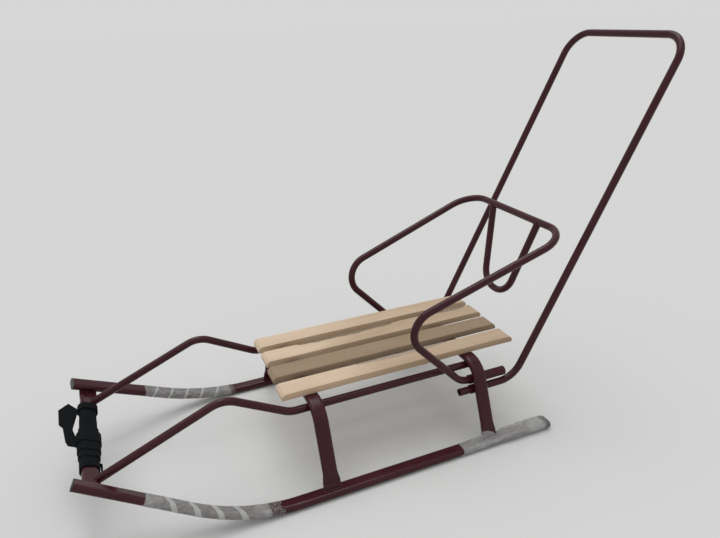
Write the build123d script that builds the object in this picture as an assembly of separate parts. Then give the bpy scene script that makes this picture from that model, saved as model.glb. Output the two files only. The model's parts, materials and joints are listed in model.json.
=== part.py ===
from build123d import *
from math import atan2, cos, pi
import os

# A metal sled. All sizes are in millimetres. Lengths run forward (+X) from the rear ends of the runner
# tubes, half spans run out from the middle plane (+Y is the left side), and heights run up (+Z) from
# the underside of the runner tubes. The finished model is moved so that its origin lies on the floor
# under the middle of the whole sled.

# Tubes
oval_width = 30.0
oval_height = 15.0
oval_wall = 1.2
round_diameter = 16.0
round_wall = 1.2
seat_gap = 0.2              # left between pieces that meet along a weld line or under a screw
plug_gap = 0.2              # left around what is pushed into a tube

# Ends of flat-oval tube that are pressed flat where they are welded on
pressed_height = 4.4
pressing_length = 16.0      # between the full outline and the pressed one

# Runners: level from the rear, then rising, closing in and rolling outer edge up to their front ends
runner_half_span = 221.0
runner_corner = 682.0
runner_bend_radius = 400.0
front_reach = 952.0
front_half_span = 170.0
front_height = 151.0
runner_roll = 12.0          # degrees, gained through the bend
roll_steps = 4

# Runner end caps
cap_flange = 2.5
cap_plug = 12.0
cap_plug_wall = 1.5

# Crossbar, set back from the runners' front ends along the tube; its pressed ends are welded under
# the runners
crossbar_setback = 34.7
crossbar_half_length = 169.0
crossbar_pressed = 13.0

# Arches: portals whose pressed feet stand on the runners
rear_arch_at = 149.5
front_arch_at = 511.0
arch_half_span = 162.7
arch_height = 166.5
arch_bend_radius = 48.0
foot_pressed = 14.0         # above the runner

# Side rails: from under the rear arch, through a dip and over a hump, down to the crossbar
rail_half_span = 131.3
rail_rear_end = 137.0
dip_at = 559.4
dip_bend_radius = 53.0
hump_at = 684.3
hump_height = 217.8
hump_bend_radius = 55.5

# Seat slats
slat_width = 43.5
slat_thickness = 14.0
slat_length = 538.0
slat_pitch = 67.0
slat_middle = 296.0
seat_aside = 2.5            # the seat's middle line stands this far to the left
slat_edge_bevel = 0.8
slat_end_bevel = 6.0
slat_shifts = (0.0, 0.0, 4.5, 6.5)      # each slat's own place along the seat, from the right

# Sockets for the backrest and sleeves for the push handle, inside the rear arch's legs. The drops
# are measured down from the arch's top centreline.
socket_diameter = 20.0
socket_drop = 37.0
socket_rear_end = 77.0
socket_front_end = 166.5
slip_gap = 0.3              # round tube in its socket or sleeve, all round
sleeve_drop = 57.3
sleeve_length = 34.0

# Backrest loop
loop_insertion = 72.0
loop_foot_at = 185.6
loop_foot_radius = 45.0
loop_front_at = 340.6
loop_front_half_span = 160.8
loop_front_height = 292.5
loop_front_radius = 50.0
loop_top_at = -47.5
loop_top_half_span = 183.1
loop_top_height = 432.2
loop_top_radius = 60.0

# Back support, a U that hangs from the loop's top bar
support_top_half_span = 83.9
support_foot_at = -2.9
support_foot_half_span = 42.7
support_foot_height = 249.2
support_bend_radius = 50.0

# Push handle
handle_front_end = 194.0
handle_heel_at = 54.4
handle_heel_radius = 60.0
handle_top_at = -318.8
handle_top_half_span = 168.3
handle_top_height = 809.4
handle_top_radius = 55.0

# Tow strap: webbing wound on the crossbar, its loose loop in front and its tail's small eye behind
strap_gap = 0.2
windings = (                # from, to, thickness of the wound webbing, from the right
    (-112.0, -90.0, 5.5),
    (-90.0, -26.0, 1.8),
    (-26.0, -7.0, 4.3),
    (-7.0, 26.0, 8.0),
    (26.0, 59.0, 6.5),
    (59.0, 77.0, 5.3),
    (77.0, 107.0, 3.2),
)
loop_sheet = 3.0
loop_outline = (            # forward from the crossbar's centreline, across the sled
    (10.0, -106.0),
    (22.0, -100.0),
    (38.6, -113.9),
    (57.4, -82.5),
    (55.4, -30.8),
    (47.7, -22.3),
    (42.7, 23.7),
    (38.2, 35.1),
    (10.0, 37.0),
    (10.0, 5.0),
    (23.3, 2.6),
    (29.4, -24.3),
    (20.5, -78.0),
    (10.0, -84.0),
)
tail_at = 96.0
tail_length = 30.0
tail_breadth = 7.0
tail_sheet = 1.6
tail_depth = 8.0

# Stretch film round the runners
film_gap = 0.2
film_thickness = 1.0
front_film = (606.0, 850.0)
rear_film = (1.0, 226.0)

whole_room = 2000.0         # wider and higher than the whole sled


# Pressing keeps the flat-oval tube's girth
pressed_width = oval_width + (pi / 2 - 1) * (oval_height - pressed_height)


def oval_outline(growth=0.0):
    """The flat-oval tube's outline, each side moved out by growth."""
    return SlotOverall(oval_width + 2 * growth, oval_height + 2 * growth)


def pressed_outline(growth=0.0):
    """The outline of a pressed end, each side moved out by growth."""
    return SlotOverall(pressed_width + 2 * growth, pressed_height + 2 * growth)


def square_to(path, width_direction):
    """The plane at the start of a path, square to it, with its x axis along width_direction."""
    return Plane(origin=path @ 0, x_dir=width_direction, z_dir=path % 0)


def oval_bar(path, width_direction, growth=0.0):
    """A solid bar of the flat-oval outline along a path, each face moved out by growth."""
    return sweep(square_to(path, width_direction) * oval_outline(growth), path=path)


def round_bar(path, width_direction, diameter):
    """A solid round bar along a path."""
    return sweep(square_to(path, width_direction) * Circle(diameter / 2), path=path)


def round_tube(path, width_direction):
    bore = round_diameter - 2 * round_wall
    return round_bar(path, width_direction, round_diameter) - round_bar(path, width_direction, bore)


def pressed_end(full, pressed, length):
    """A bar's end from its full outline to the pressed one, and on from there by length."""
    return loft([full.face(), pressed.face()]) + extrude(pressed, length)


def main_solid(shape):
    """The largest solid of a shape that a cut has left in pieces."""
    return max(shape.solids(), key=lambda solid: solid.volume)


def mirrored(shape):
    return mirror(shape, about=Plane.XZ)


def across(points):
    """A path's left half, followed by its mirror image."""
    return points + [(x, -y, z) for x, y, z in reversed(points)]


def between(shape, rear, front):
    """The stretch of a shape that lies between two places along the sled."""
    slab = Pos((rear + front) / 2, 0, 0) * Box(front - rear, whole_room, whole_room)
    return shape & slab


# Runners, with the slope of their front stretch
axis_height = oval_height / 2
runner_points = [
    (0, runner_half_span, axis_height),
    (runner_corner, runner_half_span, axis_height),
    (front_reach, front_half_span, front_height),
]
runner_path = FilletPolyline(*runner_points, radius=runner_bend_radius)
level, bend, rise = runner_path.edges()
corner, front = Vector(*runner_points[1]), Vector(*runner_points[2])
front_direction = (front - corner).normalized()
bend_normal = Vector(1, 0, 0).cross(front_direction).normalized()
bend_turn = Vector(1, 0, 0).get_angle(front_direction)


def runner_plane(part):
    """The plane across the runner at a part (0 to 1) of its bend, its x axis along the tube's width."""
    along = (level.length + part * bend.length) / runner_path.length
    forward = runner_path % along
    width = Vector(0, 1, 0).rotate(Axis((0, 0, 0), bend_normal), part * bend_turn)
    width = width.rotate(Axis((0, 0, 0), forward), part * runner_roll)
    return Plane(origin=runner_path @ along, x_dir=width, z_dir=forward)


def runner_bar(growth=0.0):
    """The runner as a solid bar, each face moved out by growth."""
    outline = oval_outline(growth)
    level_bar = extrude(runner_plane(0) * outline, -level.length)
    sections = [(runner_plane(step / roll_steps) * outline).face() for step in range(roll_steps + 1)]
    bend_bar = sweep(sections=sections, path=Wire([bend]), multisection=True)
    rise_bar = extrude(runner_plane(1) * outline, rise.length)
    return level_bar + bend_bar + rise_bar


runner_outside = runner_bar()
runner = runner_outside - runner_bar(-oval_wall)


def end_cap(mouth):
    """A plug with a flange, pushed into the runner's end at mouth, a plane that faces out of it."""
    inner_width = oval_width - 2 * (oval_wall + plug_gap)
    inner_height = oval_height - 2 * (oval_wall + plug_gap)
    flange = extrude(mouth * SlotOverall(oval_width, oval_height), cap_flange)
    plug = extrude(mouth * SlotOverall(inner_width, inner_height), -cap_plug)
    hollow = extrude(
        mouth * SlotOverall(inner_width - 2 * cap_plug_wall, inner_height - 2 * cap_plug_wall),
        -cap_plug,
    )
    return flange + (plug - hollow)


front_mouth = Plane(origin=front, x_dir=runner_plane(1).x_dir, z_dir=front_direction)
rear_mouth = Plane(origin=runner_points[0], x_dir=(0, 1, 0), z_dir=(-1, 0, 0))

# Crossbar under the runners' front stretches, its wide face in line with their slope
slope_direction = Vector(front_direction.X, 0, front_direction.Z).normalized()
slope_normal = slope_direction.cross(Vector(0, 1, 0))
flat_half = (oval_width - oval_height) / 2
runner_depth = oval_height / 2 + flat_half * abs(runner_plane(1).x_dir.dot(slope_normal))
crossbar_drop = runner_depth + seat_gap + oval_height / 2
crossbar_centre = front - front_direction * crossbar_setback - slope_normal * crossbar_drop


def crossbar_line(start, end):
    """A stretch of the crossbar's centreline, from one place across the sled to another."""
    return Line((crossbar_centre.X, start, crossbar_centre.Z), (crossbar_centre.X, end, crossbar_centre.Z))


# The pressed ends stay level with the tube's upper face
pressed_rise = (oval_height - pressed_height) / 2
crossbar_pressed_start = crossbar_half_length - crossbar_pressed
crossbar_full_end = crossbar_pressed_start - pressing_length


def crossbar_plane(at):
    """The plane across the crossbar at a place across the sled, its y axis up from the wide face."""
    return Plane(
        origin=(crossbar_centre.X, at, crossbar_centre.Z), x_dir=slope_direction, z_dir=(0, -1, 0)
    )


def crossbar_bar(growth=0.0):
    """The crossbar as a solid bar, each face moved out by growth."""
    full = crossbar_plane(crossbar_full_end) * oval_outline(growth)
    pressed = crossbar_plane(crossbar_pressed_start) * Pos(0, pressed_rise) * pressed_outline(growth)
    left_end = pressed_end(full, pressed, -crossbar_pressed)
    return extrude(full, 2 * crossbar_full_end) + left_end + mirrored(left_end)


crossbar = crossbar_bar() - crossbar_bar(-oval_wall)

# Arches
arch_splay = (runner_half_span - arch_half_span) / (arch_height - oval_height)
foot_pressed_start = oval_height + foot_pressed
foot_full_end = foot_pressed_start + pressing_length


def leg_half_span(height):
    """Where the leg's centreline stands at a height."""
    return arch_half_span + arch_splay * (arch_height - height)


def leg_plane(at, height):
    """The plane across the left leg at a height, facing down the leg."""
    return Plane(origin=(at, leg_half_span(height), height), x_dir=(1, 0, 0), z_dir=(0, arch_splay, -1))


def arch_bar(at, growth=0.0):
    """An arch as a solid bar, each face moved out by growth."""
    path = FilletPolyline(
        *across([(at, leg_half_span(foot_full_end), foot_full_end), (at, arch_half_span, arch_height)]),
        radius=arch_bend_radius,
    )
    full = leg_plane(at, foot_full_end) * oval_outline(growth)
    pressed = leg_plane(at, foot_pressed_start) * pressed_outline(growth)
    left_foot = pressed_end(full, pressed, foot_pressed_start - axis_height)
    return oval_bar(path, (1, 0, 0), growth) + left_foot + mirrored(left_foot)


def arch(at):
    tube = arch_bar(at) - arch_bar(at, -oval_wall)
    return main_solid(tube - runner_outside - mirrored(runner_outside))


# Side rails, cut square where they meet the crossbar's rear edge
rail_height = arch_height - oval_height / 2 - seat_gap - round_diameter / 2
hump = Vector(hump_at, rail_half_span, hump_height)
crossbar_rear = crossbar_centre - slope_direction * flat_half
crossbar_edge = Vector(crossbar_rear.X, rail_half_span, crossbar_rear.Z)
rail_front_end = crossbar_edge - (crossbar_edge - hump).normalized() * (oval_height / 2 + seat_gap)
rail_path = FilletPolyline(
    (rail_rear_end, rail_half_span, rail_height),
    (dip_at, rail_half_span, rail_height),
    hump,
    rail_front_end,
    radius=[dip_bend_radius, hump_bend_radius],
)
side_rail = round_tube(rail_path, (0, 1, 0))

# Seat slats, seated on the arches
slat_underside = arch_height + oval_height / 2 + seat_gap
slat_count = len(slat_shifts)


def slat(number):
    """One board with bevelled upper edges and ends, counted from the right side."""
    board = Box(slat_length, slat_width, slat_thickness, align=(Align.CENTER, Align.CENTER, Align.MIN))
    top = board.faces().sort_by(Axis.Z)[-1].edges()
    board = chamfer(top.filter_by(Axis.X), slat_edge_bevel)
    ends = board.faces().sort_by(Axis.Z)[-1].edges().filter_by(Axis.Y)
    board = chamfer(ends, slat_end_bevel)
    across_seat = seat_aside + (number - (slat_count - 1) / 2) * slat_pitch
    return Pos(slat_middle + slat_shifts[number], across_seat, slat_underside) * board


# Sockets and sleeves, welded to the inner faces of the rear arch's legs
bore_diameter = round_diameter + 2 * slip_gap
socket_height = arch_height - socket_drop
sleeve_height = arch_height - sleeve_drop
leg_lean = atan2(arch_splay, 1)
leg_stand_off = (oval_height / 2 + seat_gap + socket_diameter / 2) / cos(leg_lean)
socket_half_span = leg_half_span(socket_height) - leg_stand_off
handle_half_span = leg_half_span(sleeve_height) - leg_stand_off


def pipe(half_span, height, rear, front):
    ring = Circle(socket_diameter / 2) - Circle(bore_diameter / 2)
    mouth = Plane(origin=(rear, half_span, height), x_dir=(0, 1, 0), z_dir=(1, 0, 0))
    return extrude(mouth * ring, front - rear)


socket = pipe(socket_half_span, socket_height, socket_rear_end, socket_front_end)
sleeve = pipe(
    handle_half_span, sleeve_height, rear_arch_at - sleeve_length / 2, rear_arch_at + sleeve_length / 2
)

# Backrest loop and its back support
loop_path = FilletPolyline(
    *across([
        (socket_front_end - loop_insertion, socket_half_span, socket_height),
        (loop_foot_at, socket_half_span, socket_height),
        (loop_front_at, loop_front_half_span, loop_front_height),
        (loop_top_at, loop_top_half_span, loop_top_height),
    ]),
    radius=[loop_foot_radius, loop_front_radius, loop_top_radius,
            loop_top_radius, loop_front_radius, loop_foot_radius],
)
loop_room = round_bar(loop_path, (0, 1, 0), round_diameter + 2 * seat_gap)
backrest_loop = round_tube(loop_path, (0, 1, 0))

support_path = FilletPolyline(
    *across([
        (loop_top_at, support_top_half_span, loop_top_height),
        (support_foot_at, support_foot_half_span, support_foot_height),
    ]),
    radius=support_bend_radius,
)
back_support = main_solid(round_tube(support_path, (1, 0, 0)) - loop_room)

# Push handle
handle_path = FilletPolyline(
    *across([
        (handle_front_end, handle_half_span, sleeve_height),
        (handle_heel_at, handle_half_span, sleeve_height),
        (handle_top_at, handle_top_half_span, handle_top_height),
    ]),
    radius=[handle_heel_radius, handle_top_radius, handle_top_radius, handle_heel_radius],
)
push_handle = round_tube(handle_path, (0, 1, 0))


# Tow strap
def wound_bars(growth=0.0):
    """Solid bars over the windings' stretches of the crossbar, grown past the webbing by growth."""
    return [
        oval_bar(crossbar_line(start, end), slope_direction, strap_gap + thickness + growth)
        for start, end, thickness in windings
    ]


def slot_ring(length, breadth, wall):
    """A flat ring with straight sides, its length across the sled."""
    outer = SlotOverall(length, breadth)
    return Rot(0, 0, 90) * (outer - SlotOverall(length - 2 * wall, breadth - 2 * wall))


# The loose loop and the tail's eye lie in the crossbar's own plane
strap_plane = Plane(
    origin=(crossbar_centre.X, 0, crossbar_centre.Z),
    x_dir=slope_direction,
    z_dir=slope_normal,
)
crossbar_in_strap = oval_bar(
    crossbar_line(windings[0][0], windings[-1][1]), slope_direction, strap_gap
)
wound = Part() + wound_bars() - crossbar_in_strap
last_edge = oval_width / 2 + strap_gap + windings[-1][2]
tail_eye = Pos(2 * tail_sheet - last_edge - tail_breadth / 2, tail_at, 0) * slot_ring(
    tail_length, tail_breadth, tail_sheet
)
strap_wrap = wound + extrude(strap_plane * tail_eye, tail_depth / 2, both=True)
loose_strap = extrude(strap_plane * Polygon(*loop_outline, align=None), loop_sheet / 2, both=True)
strap_loop = main_solid(loose_strap - wound_bars(seat_gap))

# Stretch film
film_grown = film_gap + film_thickness
film_tube = runner_bar(film_grown) - runner_bar(film_gap)
film_front = between(film_tube, *front_film)
leg_room = arch_bar(rear_arch_at, film_gap)
film_rear = between(film_tube, *rear_film) - leg_room

# Nodes
pieces = {
    "front_crossbar": crossbar,
    "front_arch": arch(front_arch_at),
    "rear_arch": arch(rear_arch_at),
    "backrest_loop": backrest_loop,
    "back_support": back_support,
    "push_handle": push_handle,
    "tow_strap_wrap": strap_wrap,
    "tow_strap_loop": strap_loop,
}
for number in range(slat_count):
    pieces[f"slat_{number + 1}"] = slat(number)
paired = {
    "runner": runner,
    "front_cap": end_cap(front_mouth),
    "rear_cap": end_cap(rear_mouth),
    "side_rail": side_rail,
    "backrest_socket": socket,
    "handle_sleeve": sleeve,
    "front_film": film_front,
    "rear_film": film_rear,
}
for name, shape in paired.items():
    pieces[name + "_left"] = shape
    pieces[name + "_right"] = mirrored(shape)

# The origin lies on the floor under the middle of the whole sled
whole = Compound(children=[copy for piece in pieces.values() for copy in piece.solids()])
reach = whole.bounding_box()
to_origin = Pos(-reach.center().X, 0, -reach.min.Z)

os.makedirs("parts", exist_ok=True)
for name, piece in pieces.items():
    placed = to_origin * piece
    solids = placed.solids()
    export_step(solids[0] if len(solids) == 1 else placed, f"parts/{name}.step")
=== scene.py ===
import json
import math

import bpy
import bmesh
from mathutils import Matrix, Vector


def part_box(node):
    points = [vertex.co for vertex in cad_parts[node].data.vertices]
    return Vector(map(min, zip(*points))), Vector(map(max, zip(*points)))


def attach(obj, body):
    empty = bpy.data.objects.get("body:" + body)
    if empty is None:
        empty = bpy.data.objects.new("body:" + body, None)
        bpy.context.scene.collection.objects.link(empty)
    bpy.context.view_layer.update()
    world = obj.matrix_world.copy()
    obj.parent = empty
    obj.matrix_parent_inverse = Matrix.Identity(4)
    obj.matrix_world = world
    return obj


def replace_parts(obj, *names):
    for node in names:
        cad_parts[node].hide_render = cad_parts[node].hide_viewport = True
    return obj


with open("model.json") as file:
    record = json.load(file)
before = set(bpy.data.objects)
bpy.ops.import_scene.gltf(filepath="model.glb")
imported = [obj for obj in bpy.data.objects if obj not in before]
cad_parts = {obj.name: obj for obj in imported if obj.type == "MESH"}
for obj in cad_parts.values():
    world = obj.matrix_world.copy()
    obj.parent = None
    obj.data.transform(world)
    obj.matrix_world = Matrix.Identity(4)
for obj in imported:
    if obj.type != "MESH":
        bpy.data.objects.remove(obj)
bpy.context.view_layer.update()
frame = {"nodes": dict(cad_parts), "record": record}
nodes = frame["nodes"]
scene = bpy.context.scene

# Lengths in this script are millimetres in the sled's own layout: forward from the rear ends of the
# runner tubes, out to the left from the middle plane, and up from the runners' underside.
MM = 0.001
RUNNER_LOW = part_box("runner_left")[0]


def at(x, y, z):
    """A place in the layout as a point of the frame, in metres."""
    return Vector((RUNNER_LOW.x + x * MM, y * MM, RUNNER_LOW.z + z * MM))


# Shapes that the frame's steel has
OVAL_WIDTH, OVAL_HEIGHT = 30.0, 15.0
RUNNER_HALF_SPAN = 221.0
RUNNER_CORNER = Vector((682.0, 221.0, 7.5))
RUNNER_FRONT = Vector((952.0, 170.0, 151.0))
RUNNER_BEND_RADIUS = 400.0
RUNNER_ROLL = math.radians(12.0)
ARCHES_AT = (149.5, 511.0)
ARCH_HEIGHT = 166.5
ARCH_HALF_SPAN = 162.7
ARCH_SPLAY = (RUNNER_HALF_SPAN - ARCH_HALF_SPAN) / (ARCH_HEIGHT - OVAL_HEIGHT)
LEAN = math.atan(ARCH_SPLAY)
RAIL_HALF_SPAN = 131.3
ROUND_RADIUS = 8.0
CROSSBAR_SETBACK = 34.7
CROSSBAR_DROP = 17.07
FLAT_HALF = (OVAL_WIDTH - OVAL_HEIGHT) / 2
PRESSED_HEIGHT = 4.4
PRESSED_WIDTH = OVAL_WIDTH + (math.pi / 2 - 1) * (OVAL_HEIGHT - PRESSED_HEIGHT)
FOOT_PRESSED = 14.0
RAIL_HEIGHT = ARCH_HEIGHT - OVAL_HEIGHT / 2 - 0.2 - 8.0
HUMP = Vector((684.3, RAIL_HALF_SPAN, 217.8))
PIPE_RADIUS = 10.0
SOCKET_HEIGHT, SLEEVE_HEIGHT = ARCH_HEIGHT - 37.0, ARCH_HEIGHT - 57.3
SUPPORT_TOP = Vector((-47.5, 83.9, 432.2))
SUPPORT_FOOT = Vector((-2.9, 42.7, 249.2))

# Stretch film: the strip's width and how far each turn moves along the runner
FILM_WIDTH, FILM_PITCH = 54.5, 43.0

FORWARD = Vector((1, 0, 0))
LEFTWARD = Vector((0, 1, 0))
UPWARD = Vector((0, 0, 1))
RISE = (RUNNER_FRONT - RUNNER_CORNER).normalized()
SLOPE = Vector((RISE.x, 0, RISE.z)).normalized()
SLOPE_NORMAL = SLOPE.cross(LEFTWARD)
CROSSBAR = RUNNER_FRONT - RISE * CROSSBAR_SETBACK - SLOPE_NORMAL * CROSSBAR_DROP
CROSSBAR.y = 0.0


# Materials
def new_material(name, color, roughness, specular):
    """A material and its node tree, with the shader's plain values set."""
    material = bpy.data.materials.new(name)
    material.use_nodes = True
    tree = material.node_tree
    shader = tree.nodes["Principled BSDF"]
    shader.inputs["Base Color"].default_value = (*color, 1)
    shader.inputs["Roughness"].default_value = roughness
    shader.inputs["Specular IOR Level"].default_value = specular
    return material, tree, shader


def coordinates(tree, kind="Object"):
    """Places on the piece in metres, or its normals."""
    return tree.nodes.new("ShaderNodeTexCoord").outputs[kind]


def parts(tree, vector):
    """The single values that make up a vector."""
    made = tree.nodes.new("ShaderNodeSeparateXYZ")
    tree.links.new(vector, made.inputs[0])
    return made.outputs


def map_parts(tree, name):
    """The two values that one of this script's maps holds."""
    made = tree.nodes.new("ShaderNodeUVMap")
    made.uv_map = name
    return parts(tree, made.outputs["UV"])


def noise(tree, vector, scale, detail=3.0, roughness=0.5, distortion=0.0):
    made = tree.nodes.new("ShaderNodeTexNoise")
    made.inputs["Scale"].default_value = scale
    made.inputs["Detail"].default_value = detail
    made.inputs["Roughness"].default_value = roughness
    made.inputs["Distortion"].default_value = distortion
    tree.links.new(vector, made.inputs["Vector"])
    return made.outputs["Fac"]


def scaled(tree, vector, scale, shift=(0, 0, 0)):
    made = tree.nodes.new("ShaderNodeMapping")
    made.inputs["Scale"].default_value = scale
    made.inputs["Location"].default_value = shift
    tree.links.new(vector, made.inputs["Vector"])
    return made.outputs["Vector"]


def ramp(tree, factor, *stops):
    """A colour ramp through (place, colour) stops."""
    made = tree.nodes.new("ShaderNodeValToRGB")
    elements = made.color_ramp.elements
    while len(elements) < len(stops):
        elements.new(0.5)
    for element, (place, color) in zip(elements, stops):
        element.position = place
        element.color = (*color, 1)
    tree.links.new(factor, made.inputs["Fac"])
    return made.outputs["Color"]


def span(tree, factor, low, high, to_low, to_high):
    """A range of values laid on another, and held within it."""
    made = tree.nodes.new("ShaderNodeMapRange")
    for key, value in (("From Min", low), ("From Max", high), ("To Min", to_low), ("To Max", to_high)):
        made.inputs[key].default_value = value
    tree.links.new(factor, made.inputs["Value"])
    return made.outputs["Result"]


def bump(tree, shader, height, strength, distance):
    made = tree.nodes.new("ShaderNodeBump")
    made.inputs["Strength"].default_value = strength
    made.inputs["Distance"].default_value = distance
    tree.links.new(height, made.inputs["Height"])
    tree.links.new(made.outputs["Normal"], shader.inputs["Normal"])


def mix(tree, factor, a, b, blend="MIX"):
    made = tree.nodes.new("ShaderNodeMix")
    made.data_type = "RGBA"
    made.blend_type = blend
    for socket, value in ((made.inputs[0], factor), (made.inputs[6], a), (made.inputs[7], b)):
        if isinstance(value, (int, float)):
            socket.default_value = value
        elif isinstance(value, tuple):
            socket.default_value = (*value, 1)
        else:
            tree.links.new(value, socket)
    return made.outputs[2]


def math_node(tree, operation, a, b=0.0):
    made = tree.nodes.new("ShaderNodeMath")
    made.operation = operation
    for socket, value in zip(made.inputs, (a, b)):
        if isinstance(value, (int, float)):
            socket.default_value = value
        else:
            tree.links.new(value, socket)
    return made.outputs[0]


DUST = 0.03                     # the most that dust lightens the enamel


def paint_material():
    """Dark cherry enamel with a little dust on the faces that look up."""
    material, tree, shader = new_material("cherry_paint", (0.044, 0.007, 0.0125), 0.16, 0.24)
    place = coordinates(tree)
    cloud = noise(tree, place, 14.0, 4.0)
    color = ramp(tree, cloud, (0.3, (0.039, 0.0055, 0.0105)), (0.7, (0.05, 0.0085, 0.0145)))
    upward = span(tree, parts(tree, coordinates(tree, "Normal"))[2], 0.35, 0.95, 0.0, 1.0)
    specks = noise(tree, place, 60.0, 6.0, 0.62)
    dusted = math_node(tree, "MULTIPLY", span(tree, specks, 0.38, 0.72, 0.25, 1.0), upward)
    light = math_node(tree, "MULTIPLY", dusted, DUST)
    tree.links.new(mix(tree, light, color, (0.32, 0.24, 0.25)), shader.inputs["Base Color"])
    tree.links.new(span(tree, cloud, 0.3, 0.7, 0.12, 0.22), shader.inputs["Roughness"])
    orange_peel = noise(tree, place, 900.0, 2.0)
    bump(tree, shader, orange_peel, 0.08, 0.0003)
    return material


def wood_material(name, light, dark, shift, rear_shade=1.0, side_shade=0.5):
    """Sawn softwood with its grain along the sled. The last two arguments give how much painted shade darkens its
    rear end and its sides.
    """
    material, tree, shader = new_material(name, light, 0.72, 0.25)
    place = coordinates(tree)
    broad = noise(tree, scaled(tree, place, (1.0, 6.0, 6.0), shift), 4.0, 3.0, 0.5, 0.4)
    fibre = noise(tree, scaled(tree, place, (1.0, 45.0, 45.0), shift), 9.0, 5.0, 0.65, 0.3)
    rings = noise(tree, scaled(tree, place, (0.6, 14.0, 5.0), shift), 12.0, 2.0, 0.4, 1.6)
    grain = mix(tree, 0.45, broad, rings)
    grain = mix(tree, 0.25, grain, fibre)
    middle = tuple(0.6 * a + 0.4 * b for a, b in zip(light, dark))
    color = ramp(tree, grain, (0.3, dark), (0.44, middle), (0.62, light))
    # Painted shade: faces that look sideways across the sled are darkened and browned.
    sidelong = math_node(tree, "ABSOLUTE", parts(tree, coordinates(tree, "Normal"))[1])
    color = mix(tree, span(tree, sidelong, 0.5, 0.85, 0.0, side_shade), color, (0.72, 0.64, 0.52), "MULTIPLY")
    # Painted shade: each board grows darker towards its rear end.
    rear_shading = span(tree, parts(tree, place)[0], 0.02, 0.12, rear_shade, 0.0)
    color = mix(tree, rear_shading, color, (0.76, 0.74, 0.7), "MULTIPLY")
    stain = noise(tree, scaled(tree, place, (1.0, 3.0, 3.0), shift), 7.0, 3.0, 0.6)
    stained = span(tree, stain, 0.5, 0.75, 0.0, 0.35)
    color = mix(tree, stained, color, (0.86, 0.8, 0.7), "MULTIPLY")
    tree.links.new(color, shader.inputs["Base Color"])
    saw = noise(tree, scaled(tree, place, (90.0, 6.0, 6.0), shift), 6.0, 2.0, 0.5)
    relief = math_node(tree, "ADD", fibre, math_node(tree, "MULTIPLY", saw, 0.3))
    bump(tree, shader, relief, 0.3, 0.0004)
    return material


PICK_PITCH, RIB_PITCH = 1.6, 1.9    # the weave's threads, along and across the webbing


def webbing_material():
    """Polyester webbing: ribs along the strap and a fine cross weave, laid out by the strap's own map."""
    material, tree, shader = new_material("webbing", (0.006, 0.0073, 0.0088), 0.85, 0.07)
    strap = map_parts(tree, "strap")
    along = math_node(tree, "MULTIPLY", strap[0], 2 * math.pi / PICK_PITCH)
    ribs = math_node(tree, "SINE", math_node(tree, "MULTIPLY", strap[1], 2 * math.pi / RIB_PITCH))
    picks = math_node(tree, "SINE", math_node(tree, "ADD", along, math_node(tree, "MULTIPLY", ribs, 1.2)))
    weave = math_node(tree, "MULTIPLY", math_node(tree, "ADD", picks, ribs), 0.5)
    height = math_node(tree, "ADD", weave, noise(tree, coordinates(tree), 700.0, 3.0))
    raised = span(tree, height, -0.8, 1.6, 0, 1)
    color = ramp(tree, raised, (0.1, (0.003, 0.0037, 0.0045)), (0.9, (0.0095, 0.0112, 0.0135)))
    tree.links.new(color, shader.inputs["Base Color"])
    bump(tree, shader, height, 0.6, 0.0005)
    return material


def plastic_material():
    """Black moulded plastic, a little scuffed."""
    material, tree, shader = new_material("cap_plastic", (0.022, 0.025, 0.027), 0.42, 0.45)
    place = coordinates(tree)
    scuffs = noise(tree, place, 60.0, 4.0)
    tree.links.new(span(tree, scuffs, 0.3, 0.7, 0.34, 0.52), shader.inputs["Roughness"])
    bump(tree, shader, noise(tree, place, 1500.0, 2.0), 0.15, 0.0003)
    return material


def film_material():
    """Milky stretch film. Its map holds millimetres across the strip, negative where it is thin and torn,
    and how much further layers lighten it or folds darken it."""
    material, tree, shader = new_material("stretch_film", (0.42, 0.42, 0.41), 0.22, 0.4)
    strip = map_parts(tree, "film")
    across, layers = strip[0], strip[1]
    place = coordinates(tree)
    streaks = noise(tree, scaled(tree, place, (0.3, 1.0, 1.0)), 130.0, 5.0, 0.6, 0.8)
    single = ramp(tree, streaks, (0.3, (0.35, 0.345, 0.34)), (0.7, (0.47, 0.468, 0.46)))
    lapped = math_node(tree, "GREATER_THAN", across, FILM_PITCH)
    whole = math_node(tree, "GREATER_THAN", across, 0.0)
    first_edge = math_node(tree, "MULTIPLY", whole, math_node(tree, "LESS_THAN", across, 0.9))
    light = math_node(tree, "MAXIMUM", lapped, math_node(tree, "MULTIPLY", first_edge, 0.7))
    more = span(tree, layers, 0.0, 1.0, 0.0, 1.0)
    light = math_node(tree, "MULTIPLY", light, math_node(tree, "LESS_THAN", more, 0.05))
    light = math_node(tree, "MAXIMUM", light, more)
    color = mix(tree, light, single, (0.62, 0.63, 0.615))
    dark = span(tree, layers, -1.0, 0.0, 1.0, 0.0)
    tree.links.new(mix(tree, dark, color, (0.1, 0.1, 0.097)), shader.inputs["Base Color"])
    solid = span(tree, light, 0.0, 1.0, 0.5, 0.62)
    solid = math_node(tree, "ADD", solid, span(tree, streaks, 0.3, 0.7, -0.07, 0.07))
    specks = span(tree, noise(tree, place, 420.0, 4.0, 0.7), 0.52, 0.6, 0.12, 0.6)
    torn = math_node(tree, "LESS_THAN", across, 0.0)
    shift = math_node(tree, "MULTIPLY", torn, math_node(tree, "SUBTRACT", specks, solid))
    tree.links.new(math_node(tree, "ADD", solid, shift), shader.inputs["Alpha"])
    bump(tree, shader, streaks, 0.35, 0.001)
    material.surface_render_method = "BLENDED"
    return material


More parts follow.
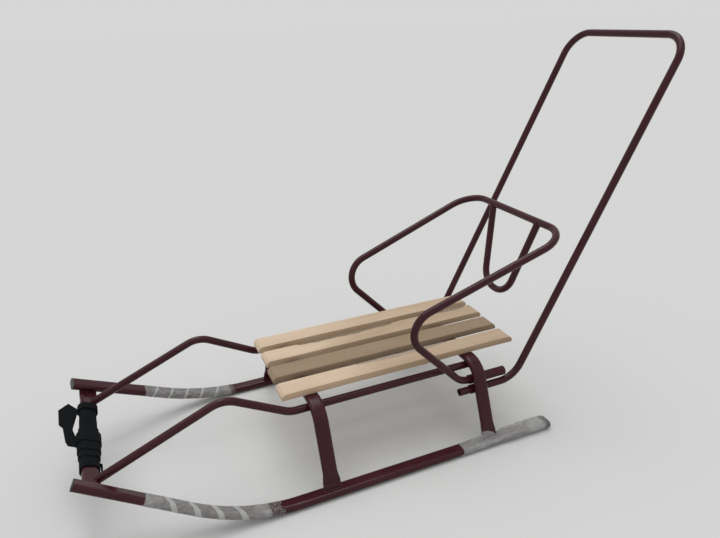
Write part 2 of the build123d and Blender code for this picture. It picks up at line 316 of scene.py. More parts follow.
PAINT = paint_material()
TAN = ((0.69, 0.535, 0.4), (0.57, 0.42, 0.295))         # light and dark grain
BROWN = ((0.33, 0.24, 0.16), (0.26, 0.185, 0.12))
# Where given, a wood's last two numbers are how much painted shade darkens its rear end and its sides.
WOODS = [
    wood_material("wood_1", *TAN, (0.0, 0.3, 0.0), 0.4),
    wood_material("wood_2", *TAN, (0.7, 0.0, 0.2)),
    wood_material("wood_3", *BROWN, (0.2, 0.9, 0.4), 0.0, 0.0),
    wood_material("wood_4", *TAN, (0.5, 0.5, 0.7)),
]
WANE = wood_material("wane", (0.24, 0.18, 0.12), (0.17, 0.125, 0.085), (0.1, 0.6, 0.3), 0.0)
WANE_PALE = wood_material("wane_pale", (0.4, 0.32, 0.25), (0.29, 0.22, 0.165), (0.4, 0.1, 0.6), 0.0)
WEBBING = webbing_material()
PLASTIC = plastic_material()
FILM = film_material()

SLOT_MATERIALS = {"paint": PAINT, "cap_plastic": PLASTIC, "webbing": WEBBING, "film": FILM}
for part in frame["record"]["subparts"]:
    mesh = nodes[part["node"]].data
    mesh.materials.clear()
    if part["material_slot"] == "wood":
        mesh.materials.append(WOODS[int(part["node"][-1]) - 1])
    else:
        mesh.materials.append(SLOT_MATERIALS[part["material_slot"]])


def soften(name, width, segments=3):
    """Joins a node's seams and rounds its sharp edges by a hair, for the looks only."""
    owner = nodes[name]
    join = owner.modifiers.new("join", "WELD")
    join.merge_threshold = 0.00002
    edge = owner.modifiers.new("edge", "BEVEL")
    edge.width = width
    edge.segments = segments
    edge.limit_method = "ANGLE"
    edge.angle_limit = math.radians(30)
    edge.harden_normals = True


for name in ("front_cap_left", "front_cap_right", "rear_cap_left", "rear_cap_right"):
    soften(name, 0.0012)


# Meshes
def new_mesh(name, points, faces, map_name=None, maps=()):
    """A mesh and, if it is named, a map on it with the two values given for each point."""
    mesh = bpy.data.meshes.new(name)
    mesh.from_pydata([tuple(p) for p in points], [], faces)
    if map_name:
        layer = mesh.uv_layers.new(name=map_name)
        for loop in mesh.loops:
            layer.data[loop.index].uv = maps[loop.vertex_index]
        mesh.validate()
    return mesh


def outward(mesh):
    """Turns a closed mesh's faces to look outward."""
    shell = bmesh.new()
    shell.from_mesh(mesh)
    bmesh.ops.recalc_face_normals(shell, faces=shell.faces)
    shell.to_mesh(mesh)
    shell.free()
    return mesh


def add_piece(name, mesh, material, body):
    made = bpy.data.objects.new(name, mesh)
    scene.collection.objects.link(made)
    mesh.materials.append(material)
    mesh.shade_smooth()
    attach(made, body)
    return made


def grid_faces(rows, columns, round_rows=False, round_columns=False, first=0):
    """Quads over a grid of points laid out row by row; a round direction closes on itself."""
    faces = []
    for i in range(rows if round_rows else rows - 1):
        for j in range(columns if round_columns else columns - 1):
            a, b = i * columns + j, i * columns + (j + 1) % columns
            c, d = ((i + 1) % rows) * columns + (j + 1) % columns, ((i + 1) % rows) * columns + j
            faces.append((first + a, first + b, first + c, first + d))
    return faces


def oval_place(share):
    """A point of the tubes' flat-oval outline and its outward normal, at a share of the way round."""
    radius = OVAL_HEIGHT / 2
    flat, turn = 2 * FLAT_HALF, math.pi * radius
    walked = (share % 1.0) * 2 * (flat + turn)
    side = 1 if walked < flat + turn else -1
    walked -= 0 if side == 1 else flat + turn
    if walked < flat:
        point, normal = (FLAT_HALF - walked, radius), (0.0, 1.0)
    else:
        angle = math.pi / 2 + (walked - flat) / radius
        normal = (math.cos(angle), math.sin(angle))
        point = (-FLAT_HALF + radius * normal[0], radius * normal[1])
    return (side * point[0], side * point[1]), (side * normal[0], side * normal[1])


OVAL_GIRTH = 4 * FLAT_HALF + math.pi * OVAL_HEIGHT


def in_strap(forward, across, out):
    """A place given along the crossbar's slope, across the sled and square to its wide face."""
    place = CROSSBAR + SLOPE * forward + SLOPE_NORMAL * out
    return at(place.x, across, place.z)


# Seat boards, with the wane that the log has left on some of their far edges
BOARD_END_BEVEL = 6.0
BOARD_END_ZONE = 9.0
BOARD_STEPS = 120
BOARD_ROUNDING = 0.9
# By board: where each stretch of wane starts and ends, its breadth and depth, and how far the edge runs out
WANES = {
    2: ((35.0, 150.0, 8.0, 2.4, 3.0), (225.0, 500.0, 9.5, 2.8, 4.5)),
    4: ((150.0, 420.0, 10.5, 2.6, 4.5),),
}
# By board: how much fuller its far edge is sawn, and forward of which place
FULLER = {2: 2.4, 3: 2.4, 4: 1.2}
FULLER_FROM = {2: 0.0, 3: 140.0, 4: 200.0}
BARK_FROM_DEPTH = 1.2


def wane(number, along):
    """Breadth and depth of the wane on a board's far edge, and how far that edge stands out."""
    breadth, depth = BOARD_ROUNDING, BOARD_ROUNDING
    full = FULLER.get(number, 0.0) * min(1.0, max(0.0, (along - FULLER_FROM.get(number, 0.0)) / 20.0))
    for start, end, broad, deep, spread in WANES.get(number, ()):
        if start < along < end:
            share = math.sin(math.pi * (along - start) / (end - start)) ** 0.6
            ripple = 1 + 0.12 * math.sin(0.071 * along + number) + 0.08 * math.sin(0.19 * along)
            full = max(full, spread * share * ripple)
            breadth, depth = max(breadth, broad * share * ripple + full), max(depth, deep * share)
    return breadth, depth, full


def board(number):
    """A sawn board in the place of a slat, its grain and wane along the sled."""
    low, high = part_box(f"slat_{number}")
    rear, front = (low.x - RUNNER_LOW.x) / MM, (high.x - RUNNER_LOW.x) / MM
    far, near = low.y / MM, high.y / MM
    floor_level, top = (low.z - RUNNER_LOW.z) / MM, (high.z - RUNNER_LOW.z) / MM
    from_end = (0.0, BOARD_END_BEVEL, BOARD_END_ZONE)
    step = (front - rear - 2 * BOARD_END_ZONE) / BOARD_STEPS
    middle = [rear + BOARD_END_ZONE + step * k for k in range(1, BOARD_STEPS)]
    stations = [rear + s for s in from_end] + middle + [front - s for s in reversed(from_end)]
    r = BOARD_ROUNDING
    points = []
    for along in stations:
        breadth, depth, full = wane(number, along)
        edge = far - full
        wander = 0.35 * math.sin(0.021 * along + 2 * number) + 0.2 * math.sin(0.057 * along)
        section = [(edge + r, floor_level), (near - r, floor_level), (near - 0.3 * r, floor_level + 0.3 * r)]
        section += [(near, floor_level + r), (near, top - r), (near - 0.3 * r, top - 0.3 * r)]
        section += [(near - r, top), (edge + breadth + 2.0, top)]
        for turned in (0, 30, 60, 90):
            a = math.radians(turned)
            section.append((edge + breadth * (1 - math.sin(a)), top - depth * (1 - math.cos(a))))
        section += [(edge, floor_level + r), (edge + 0.3 * r, floor_level + 0.3 * r)]
        end_gap = min(along - rear, front - along)
        ceiling = top - max(0.0, BOARD_END_BEVEL - end_gap)
        points += [at(along, y + wander * (y > far + 1), min(z, ceiling)) for y, z in section]
    columns = len(section)
    faces = grid_faces(len(stations), columns, False, True)
    faces.append(tuple(reversed(range(columns))))
    faces.append(tuple((len(stations) - 1) * columns + k for k in range(columns)))
    mesh = outward(new_mesh(f"board_{number}", points, faces))
    made = add_piece(f"board_{number}", mesh, WOODS[number - 1], "sled")
    mesh.materials.append(WANE_PALE if number == 4 else WANE)
    barked = {8, 9, 10}             # the section's faces on the far top edge
    for index in range((len(stations) - 1) * columns):
        along = stations[index // columns]
        if index % columns in barked and wane(number, along)[1] > BARK_FROM_DEPTH:
            mesh.polygons[index].material_index = 1
    mesh.set_sharp_from_angle(angle=math.radians(35))
    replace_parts(made, f"slat_{number}")


for number in range(1, 5):
    board(number)


# Tow strap: turns of webbing wound on the crossbar, layer on layer
STRAP_SHEET = 1.6
STRAP_GAP = 0.2                 # between the crossbar and the first layer
LOOP_SHEET = 1.5
WINDINGS = (                    # from, to, thickness of the wound webbing, how far its edges run askew
    (-112.0, -91.0, 5.0, -1.8),
    (-98.0, -57.5, 1.7, 2.0),
    (-60.0, -24.0, 1.9, 2.2),
    (-27.0, -4.0, 4.3, 1.6),
    (-7.0, 26.0, 8.0, 2.4),
    (23.0, 52.0, 6.3, 2.2),
    (48.0, 70.5, 4.8, 2.4),
    (67.0, 104.0, 3.2, -4.5),
)
ROUND_STEPS = 96


def strap_profile(half_width, inner, outer):
    """A strap's section as (across, height) points, with rounded edges."""
    middle, half = (inner + outer) / 2, (outer - inner) / 2
    edge = [(math.cos(a), math.sin(a)) for a in (math.radians(t) for t in (-90, -45, 0, 45, 90))]
    tip = half_width - half
    points = [(tip + half * c, middle + half * s) for c, s in edge]
    steps = 8
    points += [(tip * (1 - 2 * k / steps), outer) for k in range(1, steps)]
    points += [(-tip - half * c, middle + half * s) for c, s in reversed(edge)]
    points += [(tip * (2 * k / steps - 1), inner) for k in range(1, steps)]
    return points


def wound_ring(middle, half_width, inner, outer, askew, phase, points, faces, maps):
    """One closed turn of webbing round the crossbar."""
    profile = strap_profile(half_width, inner, outer)
    first = len(points)
    for step in range(ROUND_STEPS):
        share = step / ROUND_STEPS
        angle = 2 * math.pi * share
        (w, h), (nw, nh) = oval_place(share)
        shift = askew * math.sin(angle + 0.6) + 0.35 * math.sin(3 * angle + phase)
        swell = 0.18 * math.sin(2 * angle + 1.7 * phase) + 0.1 * math.sin(5 * angle + phase)
        for across, height in profile:
            lift = height + swell * (height / max(outer, 0.1))
            points.append(in_strap(w + nw * lift, middle + shift + across, h + nh * lift))
            maps.append((share * OVAL_GIRTH, across))
    faces += grid_faces(ROUND_STEPS, len(profile), True, True, first)


def strap_piece(name, points, faces, maps, node):
    """A closed piece of webbing in a node's place. Its map holds millimetres along and across the strap."""
    mesh = outward(new_mesh(name, points, faces, "strap", maps))
    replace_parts(add_piece(name, mesh, WEBBING, "sled"), node)


wrap_points, wrap_faces, wrap_maps = [], [], []
for number, (start, end, thickness, askew) in enumerate(WINDINGS):
    layers = max(1, round(thickness / STRAP_SHEET))
    sheet = thickness / layers
    for layer in range(layers):
        stagger = 0.9 * math.sin(2.1 * layer + number)
        tuck = 0.7 * (layers - 1 - layer)
        wound_ring(
            (start + end) / 2 + stagger * (layer < layers - 1), (end - start) / 2 - tuck,
            STRAP_GAP + sheet * layer, STRAP_GAP + sheet * (layer + 1) - 0.08, askew, number + 0.5 * layer,
            wrap_points, wrap_faces, wrap_maps,
        )


def ribbon(sections, sheet, points, faces, maps, steps=10):
    """A strap lofted through sections of (near edge, far edge, lift) given in the crossbar's plane."""
    spaced = []
    for (a0, b0, n0), (a1, b1, n1) in zip(sections, sections[1:]):
        for k in range(steps):
            t = k / steps
            spaced.append((
                [p + (q - p) * t for p, q in zip(a0, a1)],
                [p + (q - p) * t for p, q in zip(b0, b1)],
                n0 + (n1 - n0) * (3 * t * t - 2 * t ** 3),
            ))
    spaced.append(sections[-1])
    columns = 9
    first = len(points)
    for side in (1, -1):
        along, last = 0.0, None
        for near, far, lift in spaced:
            centre = ((near[0] + far[0]) / 2, (near[1] + far[1]) / 2)
            if last:
                along += math.dist(centre, last)
            last = centre
            width = math.dist(near, far)
            for k in range(columns):
                t = k / (columns - 1)
                edge = 1 - (2 * t - 1) ** 8
                place = (near[0] + (far[0] - near[0]) * t, near[1] + (far[1] - near[1]) * t)
                points.append(in_strap(*place, lift + side * sheet / 2 * edge))
                maps.append((along, (t - 0.5) * width))
    rows = len(spaced)
    count = rows * columns
    faces += grid_faces(rows, columns, first=first)
    faces += [tuple(reversed(f)) for f in grid_faces(rows, columns, first=first + count)]
    for row, edge in ((0, 1), (rows - 1, -1)):
        for k in range(columns - 1):
            a = first + row * columns + k
            faces.append((a, a + count, a + count + 1, a + 1)[::edge])


# The tail's small eye behind the winding's near end
TAIL_AT, TAIL_LENGTH, TAIL_BREADTH, TAIL_DEPTH = 96.0, 30.0, 7.0, 8.0
TAIL_STEPS, TAIL_STEP = 48, 1.3
tail_forward = 2 * STRAP_SHEET - (OVAL_WIDTH / 2 + STRAP_GAP + WINDINGS[-1][2]) - TAIL_BREADTH / 2
tail_straight = (TAIL_LENGTH - TAIL_BREADTH) / 2
tail_profile = strap_profile(TAIL_DEPTH / 2, -STRAP_SHEET, 0.0)
first = len(wrap_points)
for step in range(TAIL_STEPS):
    angle = 2 * math.pi * step / TAIL_STEPS
    c, s = math.cos(angle), math.sin(angle)
    centre = TAIL_AT + math.copysign(tail_straight, c) * min(1, abs(c) * 6)
    for out, height in tail_profile:
        reach = TAIL_BREADTH / 2 + height
        wrap_points.append(in_strap(tail_forward + reach * s, centre + reach * c, out))
        wrap_maps.append((step * TAIL_STEP, out))
wrap_faces += grid_faces(TAIL_STEPS, len(tail_profile), True, True, first)
strap_piece("strap_winding", wrap_points, wrap_faces, wrap_maps, "tow_strap_wrap")

# The loose loop: a leg out of the winding, folded over askew, and back to it
loop_points, loop_faces, loop_maps = [], [], []
ribbon(
    [
        ((5, -106), (5, -84), 0.2),
        ((22, -101), (20.5, -79), -0.6),
        ((38.6, -113.4), (38, -68), -0.7),
        ((55.5, -84.5), (50, -58), -0.7),
    ],
    LOOP_SHEET, loop_points, loop_faces, loop_maps,
)
ribbon(
    [
        ((38.6, -113.9), (37.4, -113.2), 0.6),
        ((48.0, -98.2), (22.0, -100.0), 0.9),
        ((57.4, -82.5), (20.8, -80.0), 0.9),
        ((56.4, -55.0), (25.0, -52.0), 0.7),
        ((55.4, -30.8), (28.8, -27.5), 0.0),
        ((47.7, -22.0), (29.2, -21.0), -0.2),
        ((45.2, 1.0), (25.6, -6.0), 0.0),
        ((42.7, 23.7), (23.3, 2.6), 0.3),
        ((38.2, 35.1), (17.0, 5.0), 0.2),
        ((6, 37), (6, 5), 0.0),
    ],
    LOOP_SHEET, loop_points, loop_faces, loop_maps,
)
strap_piece("strap_loop", loop_points, loop_faces, loop_maps, "tow_strap_loop")


# Stretch film wound askew round the runners
BEND_TURN = FORWARD.angle(RISE)
BEND_AXIS = FORWARD.cross(RISE).normalized()
LEVEL_LENGTH = RUNNER_CORNER.x - RUNNER_BEND_RADIUS * math.tan(BEND_TURN / 2)
BEND_LENGTH = RUNNER_BEND_RADIUS * BEND_TURN


def runner_frame(distance):
    """The left runner's centre, width and thickness directions, at a distance along it from its rear end."""
    part = min(max((distance - LEVEL_LENGTH) / BEND_LENGTH, 0.0), 1.0)
    turned = Matrix.Rotation(part * BEND_TURN, 3, BEND_AXIS)
    forward = turned @ FORWARD
    inward = BEND_AXIS.cross(FORWARD)
    bend_start = Vector((LEVEL_LENGTH, RUNNER_CORNER.y, RUNNER_CORNER.z))
    centre = bend_start + inward * RUNNER_BEND_RADIUS - (turned @ inward) * RUNNER_BEND_RADIUS
    before, after = min(distance - LEVEL_LENGTH, 0), max(distance - LEVEL_LENGTH - BEND_LENGTH, 0)
    centre = centre + forward * (before + after)
    width = Matrix.Rotation(part * RUNNER_ROLL, 3, forward) @ (turned @ LEFTWARD)
    return centre, width, forward.cross(width)


FILM_STEPS, FILM_COLUMNS = 56, 17    # to one turn, and across the strip
FILM_GAP = 0.45                 # between the tube and the film on it
FOOT_REAR = ARCHES_AT[0] - PRESSED_WIDTH / 2
FOOT_FRONT = ARCHES_AT[0] + PRESSED_WIDTH / 2
REAR_SLACK = 4.6                # the most that the film stands off the tube behind the foot


def film_slack(distance, rise):
    """How far the film stands off the tube's upper side behind the rear foot."""
    if distance > FOOT_REAR:
        return 0.0
    toward_foot = min(1.0, (FOOT_REAR - distance) / 35.0)
    toward_end = min(1.0, max(0.0, (distance + 3.0) / 16.0)) ** 0.5
    folds = 1 + 0.14 * math.sin(0.31 * distance) + 0.1 * math.sin(0.83 * distance + 1.0)
    return REAR_SLACK * toward_foot * toward_end * folds * max(0.0, min(1.0, 0.35 + rise))


def film_point(distance, share, lift, side):
    """A point of film lying round a runner, at a share of the way round its outline."""
    (w, h), (nw, nh) = oval_place(share)
    centre, width, thick = runner_frame(distance)
    stand = lift + film_slack(distance, nh)
    place = centre + width * (w + nw * stand) + thick * (h + nh * stand)
    return at(place.x, side * place.y, place.z)


def film_mesh(name, points, rows, columns, maps, keep=None):
    """A sheet of film, without the faces that have no length or aren't kept."""
    faces = [
        face for face in grid_faces(rows, columns)
        if ((points[face[0]] - points[face[1]]).length > 0.3 * MM
            or (points[face[3]] - points[face[2]]).length > 0.3 * MM) and (keep is None or keep(face))
    ]
    return new_mesh(name, points, faces, "film", maps)


def wound_film(name, start, end, phase, pitch, width, side, doubled):
    """Stretch film wound from one place along a runner to another, each turn over the edge of the last.
    doubled gives how much further layers lighten it at a place."""
    first_row = math.floor((start - phase - width) / pitch * FILM_STEPS)
    last_row = math.ceil((end - phase) / pitch * FILM_STEPS)
    points, maps = [], []
    for row in range(first_row, last_row + 1):
        turn = row / FILM_STEPS
        for column in range(FILM_COLUMNS):
            share = column / (FILM_COLUMNS - 1)
            across = share * width
            lapped = across > pitch
            ripple = 0.2 * math.sin(19 * turn + 1.3) * math.sin(math.pi * share) ** 2
            lift = FILM_GAP + 0.35 * lapped + ripple
            distance = phase + pitch * turn + across + 0.8 * math.sin(2 * math.pi * turn + 0.8)
            held = min(max(distance, start + 2.0 * math.sin(9 * turn)), end)
            points.append(film_point(held, turn, lift, side))
            on_strip = FILM_PITCH + across - pitch if lapped else across * FILM_PITCH / pitch
            maps.append((on_strip, doubled(held)))
    return film_mesh(name, points, last_row - first_row + 1, FILM_COLUMNS, maps)


def film_ring(name, low, high, side, lift, kind=1, columns=25, keep=None, shade=lambda distance: 0.0):
    """One closed turn of film between two edges, each a function of the share of the way round. kind is -1 for
    torn film, and shade gives how layers lighten or folds darken it at a place."""
    points, maps = [], []
    for row in range(FILM_STEPS + 1):
        turn = row / FILM_STEPS
        near, far = low(turn), high(turn)
        for column in range(columns):
            share = column / (columns - 1)
            distance = near + (far - near) * share
            wave = 0.25 * math.sin(14 * turn + 0.09 * distance) * math.sin(math.pi * share)
            points.append(film_point(distance, turn, lift + wave, side))
            maps.append((kind * min(0.2 + share * (far - near), FILM_PITCH - 1), shade(distance)))
    return film_mesh(name, points, FILM_STEPS + 1, columns, maps, keep and (lambda face: keep(points, face)))


def leg_out(level):
    """How far out a leg's centre plane stands at a height."""
    return ARCH_HALF_SPAN + ARCH_SPLAY * (ARCH_HEIGHT - level)


def leg_face_out(level, gap):
    """How far out something stands that lies on the outer face of a pressed foot, with a gap."""
    return leg_out(level) + PRESSED_HEIGHT / 2 / math.cos(LEAN) + gap


def off_the_foot(points, face):
    """Whether a face of film lies clear of the rear foot."""
    middle = sum((points[k] for k in face), Vector()) / 4
    level = (middle.z - RUNNER_LOW.z) / MM
    out = abs(middle.y) / MM - leg_out(level)
    along = (middle.x - RUNNER_LOW.x) / MM - ARCHES_AT[0]
    return level < 8 or abs(along) > PRESSED_WIDTH / 2 or abs(out) > PRESSED_HEIGHT / 2


def end_closure(name, side):
    """The film's end, gathered over the runner's rear cap."""
    points, maps = [], []
    rows = 13
    end = -2.4
    for row in range(rows):
        turned = math.pi / 2 * row / (rows - 1)
        reach, back = math.cos(turned), math.sin(turned)
        for step in range(FILM_STEPS + 1):
            share = step / FILM_STEPS
            (w, h), (nw, nh) = oval_place(share)
            stand = 0.5 + film_slack(-2.0, nh) + 0.3 * math.sin(31 * share) * back * reach
            out = RUNNER_HALF_SPAN + (w + nw * stand) * reach
            level = OVAL_HEIGHT / 2 + (h + nh * stand) * reach
            points.append(at(end - 1.9 * back, side * out, level))
            maps.append((10.0, -0.8))
    return film_mesh(name, points, rows, FILM_STEPS + 1, maps)


FLAP_HEIGHT = 15.5
WEB_LENGTH, WEB_HEIGHT = 46.0, 27.0


def flap_sheet(name, side):
    """Film lapped up the outer face of a rear foot, highest at its front."""
    columns, rows = 25, 9
    low_rows = 3                    # those that lie on the runner
    points, maps = [], []
    for row in range(rows):
        for column in range(columns):
            share = column / (columns - 1)
            along = (2 * share - 1) * (PRESSED_WIDTH / 2 + 1.5)
            rise = math.sin(math.pi / 2 * min(1.0, 0.03 + 1.3 * share)) ** 0.95
            crown = FLAP_HEIGHT * rise + 0.4 * math.sin(0.6 * along)
            if row < low_rows:
                out, level = RUNNER_HALF_SPAN + 15.4 - 4.2 * row, 11.5 + 2.1 * row
            else:
                level = OVAL_HEIGHT + 0.9 + crown * (row - low_rows) / (rows - 1 - low_rows)
                out = leg_face_out(level, 0.5)
            points.append(at(ARCHES_AT[0] + along, side * out, level + 0.9))
            maps.append((10.0 if row < rows - 1 else 0.5, 0.0))
    return film_mesh(name, points, rows, columns, maps)


def web_sheet(name, side):
    """Film drawn up from the runner's top to the front edge of a rear foot."""
    columns, rows = 15, 9
    foot = OVAL_HEIGHT + 0.6
    points, maps = [], []
    for row in range(rows):
        for column in range(columns):
            share = column / (columns - 1)
            top = foot + 0.3 + WEB_HEIGHT * (1 - share) ** 1.8
            level = foot + (top - foot) * row / (rows - 1)
            out = leg_out(level) + 2.5 * (1 - share) - 3.0 * share + 1.2 * math.sin(5 * share + 0.3 * row)
            points.append(at(FOOT_FRONT + WEB_LENGTH * share, side * out, level))
            maps.append((10.0, 0.1))
    return film_mesh(name, points, rows, columns, maps)


def wave(middle, swing, turned):
    """An edge that runs askew round the tube."""
    return lambda turn: middle + swing * math.sin(2 * math.pi * turn + turned)


def ease(value, low, high):
    """Rises from 0 to 1 between two places."""
    return min(1.0, max(0.0, (value - low) / (high - low)))


# Front windings: start, end, phase, pitch, width, and where the film is doubled at its rear and front ends
FRONT_WINDINGS = {
    "left": (638.0, 868.0, 600.8, FILM_PITCH, FILM_WIDTH, 666.0, 836.0),
    "right": (617.0, 830.0, 602.5, 38.3, 43.8, 634.0, 900.0),
}
FRILLS = {"left": (613.0, 642.0, 4.0), "right": (609.0, 620.0, 1.5)}    # rear edge, front edge, how ragged
REAR_FILM_FRONT, REAR_FILM_TONGUE = 220.5, 24.0
DOUBLED = 0.24                  # how much a doubled layer lightens the front film


def film_piece(mesh, node=None):
    """A piece of film with its mesh's name, in a node's place if one is named."""
    made = add_piece(mesh.name, mesh, FILM, "sled")
    if node:
        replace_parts(made, node)


def film_front_edge(turn):
    """How far forward the rear film reaches, furthest along the runner's underside."""
    return REAR_FILM_FRONT + REAR_FILM_TONGUE * max(0.0, math.cos(2 * math.pi * (turn - 0.65))) ** 2


def end_shade(distance):
    """Light where the film lies doubled behind the rear foot, dark where it is gathered over the cap."""
    return 0.5 * ease(distance, 14.0, 19.0) - 1.0 * (1 - ease(distance, 9.0, 14.0))


def doubled_at(rear, front):
    """The shade of film that lies doubled behind one place and in front of another."""
    return lambda distance: DOUBLED * max(1 - ease(distance, rear, rear + 4), ease(distance, front, front + 4))


def ragged(middle, swing):
    """A torn edge."""
    return lambda turn: middle + swing * (math.sin(14 * turn) + 0.6 * math.sin(33 * turn))


for side, word in ((1, "left"), (-1, "right")):
    *winding, rear_doubled, front_doubled = FRONT_WINDINGS[word]
    doubled = doubled_at(rear_doubled, front_doubled)
    film_piece(wound_film(f"film_front_{word}", *winding, side, doubled), f"front_film_{word}")
    torn_edge, whole_edge, swing = FRILLS[word]
    film_piece(film_ring(
        f"film_frill_{word}", ragged(torn_edge, swing), wave(whole_edge, 1.0, 0.0), side, 0.9, kind=-1,
    ))
    film_piece(film_ring(
        f"film_rear_{word}", wave(2.0, 0.0, 0.0), film_front_edge, side, FILM_GAP,
        columns=97, keep=off_the_foot, shade=lambda d: 0.2 + 0.3 * (1 - ease(d, 20, 110)),
    ), f"rear_film_{word}")
    film_piece(film_ring(
        f"film_cuff_{word}", wave(171.0, 3.0, 0.5), lambda turn: film_front_edge(turn) - 2.0, side, 0.85,
    ))
    film_piece(film_ring(
        f"film_end_{word}", wave(-2.2, 0.0, 0.0), wave(52.0, 2.0, 2.0), side, 0.8, shade=end_shade,
    ))
    for kind, sheet in (("closure", end_closure), ("flap", flap_sheet), ("web", web_sheet)):
        film_piece(sheet(f"film_{kind}_{word}", side))


# Weld beads
BEAD_STEP = 0.7


def bead(points, radius, store, closed=False, phase=0.0):
    """Adds a rippled bead along points given in the layout."""
    vertices, faces = store
    path = [Vector(p) for p in points]
    if closed:
        path.append(path[0])
    spaced = []
    for a, b in zip(path, path[1:]):
        steps = max(1, round((b - a).length / BEAD_STEP))
        spaced += [a + (b - a) * (k / steps) for k in range(steps)]
    if not closed:
        spaced.append(path[-1])
    count, around = len(spaced), 8
    first = len(vertices)
    for index, place in enumerate(spaced):
        ahead = spaced[(index + 1) % count] if closed or index + 1 < count else place
        behind = spaced[index - 1] if closed or index else place
        forward = (ahead - behind).normalized()
        aside = forward.orthogonal() if abs(forward.z) > 0.9 else forward.cross(UPWARD)
        aside.normalize()
        above = aside.cross(forward)
        walked = index * BEAD_STEP
        ripple = 0.16 * abs(math.sin(walked * 1.35 + phase)) + 0.1 * math.sin(walked * 0.5 + 2 * phase)
        thick = radius * (0.9 + ripple)
        if not closed:
            thick *= min(1.0, 0.35 + 0.25 * min(index, count - 1 - index))
        for k in range(around):
            angle = 2 * math.pi * k / around
            vertices.append(at(*(place + (aside * math.cos(angle) + above * math.sin(angle)) * thick)))
    faces += grid_faces(count, around, closed, True, first)
    if not closed:
        faces.append(tuple(first + k for k in reversed(range(around))))
        faces.append(tuple(first + (count - 1) * around + k for k in range(around)))


def oval_ring(centre, along, aside, length, breadth, count=40):
    """Points of a flat-oval outline."""
    straight = (length - breadth) / 2
    ring = []
    for k in range(count):
        angle = 2 * math.pi * (k + 0.5) / count
        c, s = math.cos(angle), math.sin(angle)
        reach = math.copysign(straight, c) + breadth / 2 * c
        ring.append(centre + along * reach + aside * (breadth / 2 * s))
    return ring


def round_ring(centre, axis, radius, count=36):
    """Points of a circle square to an axis."""
    first = axis.orthogonal().normalized()
    second = axis.cross(first)
    turn = [2 * math.pi * k / count for k in range(count)]
    return [centre + (first * math.cos(a) + second * math.sin(a)) * radius for a in turn]


SADDLE_POINTS, SADDLE_RADIUS = 40, ROUND_RADIUS + 0.3
sled_welds, backrest_welds = ([], []), ([], [])
for side in (1, -1):
    mirrored = Vector((1, side, 1))
    for number, place in enumerate(ARCHES_AT):
        if number:                  # film covers the rear feet
            foot = Vector((place, side * RUNNER_HALF_SPAN, OVAL_HEIGHT + 0.4))
            ring = oval_ring(foot, FORWARD, LEFTWARD, PRESSED_WIDTH + 2.0, PRESSED_HEIGHT + 3.4)
            bead(ring, 2.1, sled_welds, True, number + side)
            ridge, out = OVAL_HEIGHT + FOOT_PRESSED, leg_face_out(OVAL_HEIGHT + FOOT_PRESSED, 0.2)
            fold = [Vector((place + dx, side * out, ridge + 0.02 * dx)) for dx in (-15.5, -5, 5, 15.5)]
            bead(fold, 0.7, sled_welds, phase=2.0)
        for dy in (-5.0, 5.0):
            under = [Vector((place + dx, side * RAIL_HALF_SPAN + dy, RAIL_HEIGHT + 7.3)) for dx in (-9, 0, 9)]
            bead(under, 1.5, sled_welds, phase=dy)
    edge = [
        CROSSBAR * mirrored + SLOPE * s + SLOPE_NORMAL * (OVAL_HEIGHT / 2 + 0.9)
        + Vector((0, side * (163.4 - 0.167 * s), 0))
        for s in (-17, -8, 0, 8, 17)
    ]
    bead(edge, 1.9, sled_welds, phase=1.3 * side)
    rail_edge = CROSSBAR - SLOPE * FLAT_HALF + Vector((0, RAIL_HALF_SPAN, 0))
    rail_way = (rail_edge - HUMP).normalized()
    rail_end = (rail_edge - rail_way * (OVAL_HEIGHT / 2 - 1.2)) * mirrored
    bead(round_ring(rail_end, rail_way, 7.2), 1.7, sled_welds, True, 0.4 * side)
    for height, reach in ((SOCKET_HEIGHT, 12.0), (SLEEVE_HEIGHT, 13.0)):
        toward_leg = Vector((0, math.cos(LEAN), math.sin(LEAN)))
        down_leg = Vector((0, math.sin(LEAN), -math.cos(LEAN)))
        stand_off = (OVAL_HEIGHT / 2 + 0.2 + PIPE_RADIUS) / math.cos(LEAN)
        centre = Vector((ARCHES_AT[0], leg_out(height) - stand_off, height))
        for turned in (-34, 34):
            toward = toward_leg * math.cos(math.radians(turned)) + down_leg * math.sin(math.radians(turned))
            middle = centre + toward * (PIPE_RADIUS + 0.5)
            line = [(middle + FORWARD * dx) * mirrored for dx in (-reach, 0, reach)]
            bead(line, 1.6, sled_welds, phase=0.1 * height + turned)
    support_way = (SUPPORT_FOOT - SUPPORT_TOP).normalized()
    first = LEFTWARD.cross(support_way).normalized()
    second = support_way.cross(first)
    saddle = []
    for k in range(SADDLE_POINTS):
        angle = 2 * math.pi * k / SADDLE_POINTS
        rim = (first * math.cos(angle) + second * math.sin(angle)) * SADDLE_RADIUS
        low, high = 0.0, 3 * ROUND_RADIUS
        for _ in range(24):         # halves the stretch in which the rim's line leaves the top bar
            middle = (low + high) / 2
            spot = rim + support_way * middle
            if Vector((spot.x, 0, spot.z)).length < SADDLE_RADIUS:
                low = middle
            else:
                high = middle
        saddle.append((SUPPORT_TOP + rim + support_way * high) * mirrored)
    bead(saddle, 1.5, backrest_welds, True, 0.7 * side)

for name, body, welds in (
    ("weld_beads", "sled", sled_welds), ("support_weld_beads", "backrest", backrest_welds)
):
    add_piece(name, outward(new_mesh(name, *welds)), PAINT, body)


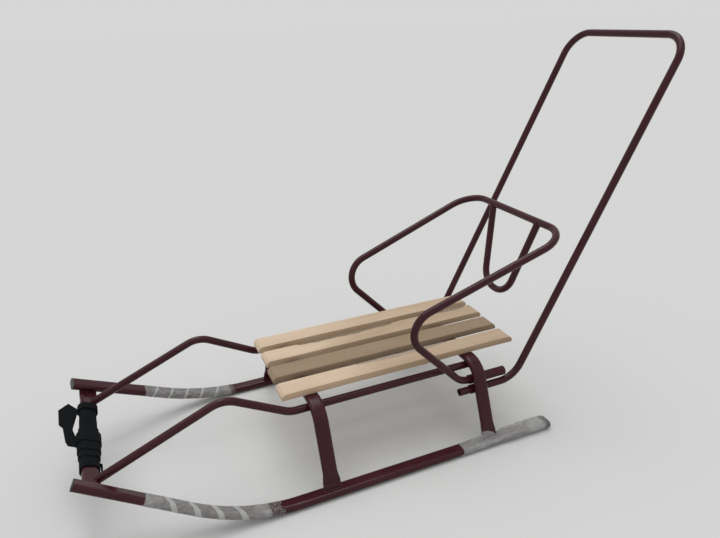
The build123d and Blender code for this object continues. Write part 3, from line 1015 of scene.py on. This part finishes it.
# Camera: the photograph's viewpoint
EYE = at(815.1, 1114.9, 866.2)
YAW, PITCH, ROLL = 0.3978, -0.3930, -0.0311
FRAME_WIDTH = 720
FOCAL_PIXELS = 614.23
SENSOR = 36.0
looking = Vector((-math.sin(YAW) * math.cos(PITCH), -math.cos(YAW) * math.cos(PITCH), math.sin(PITCH)))
level_right = looking.cross(UPWARD).normalized()
level_up = level_right.cross(looking)
right = level_right * math.cos(ROLL) + level_up * math.sin(ROLL)
up = level_up * math.cos(ROLL) - level_right * math.sin(ROLL)
camera = bpy.data.objects.new("camera", bpy.data.cameras.new("camera"))
scene.collection.objects.link(camera)
camera.data.sensor_width = SENSOR
camera.data.lens = SENSOR * FOCAL_PIXELS / FRAME_WIDTH
camera.data.clip_start = 0.05
camera.data.clip_end = 60
camera.matrix_world = Matrix((
    (right.x, up.x, -looking.x, EYE.x),
    (right.y, up.y, -looking.y, EYE.y),
    (right.z, up.z, -looking.z, EYE.z),
    (0, 0, 0, 1),
))
scene.camera = camera

# Floor, world and lamps
FLOOR_HALF = 40.0
PALE = (0.67, 0.675, 0.67)
WORLD_LIGHT = 0.64
LAMPS = {                       # energy, breadth in degrees as seen from the sled, the way it shines
    "sky": (0.95, 55, (-0.12, 0.22, -1)),
    "glint": (0.2, 16, (0.1, 0.3, -1)),
}
corners = [(x * FLOOR_HALF, y * FLOOR_HALF, 0) for x, y in ((-1, -1), (1, -1), (1, 1), (-1, 1))]
floor_mesh = new_mesh("floor", corners, [(0, 1, 2, 3)])
floor = bpy.data.objects.new("floor", floor_mesh)
scene.collection.objects.link(floor)
floor_mesh.materials.append(new_material("floor", PALE, 0.9, 0.0)[0])

world = bpy.data.worlds.new("world")
scene.world = world
world.use_nodes = True
tree = world.node_tree
tree.nodes.clear()
path = tree.nodes.new("ShaderNodeLightPath")
seen = math_node(tree, "MAXIMUM", path.outputs["Is Camera Ray"], path.outputs["Is Glossy Ray"])
seen = math_node(tree, "MAXIMUM", seen, path.outputs["Is Transmission Ray"])
chosen = tree.nodes.new("ShaderNodeMixShader")
tree.links.new(seen, chosen.inputs[0])
for socket, color, strength in ((chosen.inputs[1], (1, 1, 1), WORLD_LIGHT), (chosen.inputs[2], PALE, 1.0)):
    background = tree.nodes.new("ShaderNodeBackground")
    background.inputs["Color"].default_value = (*color, 1)
    background.inputs["Strength"].default_value = strength
    tree.links.new(background.outputs[0], socket)
tree.links.new(chosen.outputs[0], tree.nodes.new("ShaderNodeOutputWorld").inputs["Surface"])
scene.view_settings.view_transform = "Standard"

for name, (energy, breadth, way) in LAMPS.items():
    lamp = bpy.data.objects.new(name, bpy.data.lights.new(name, "SUN"))
    scene.collection.objects.link(lamp)
    lamp.data.energy = energy
    lamp.data.angle = math.radians(breadth)
    lamp.rotation_mode = "QUATERNION"
    lamp.rotation_quaternion = Vector(way).to_track_quat("-Z", "Y")
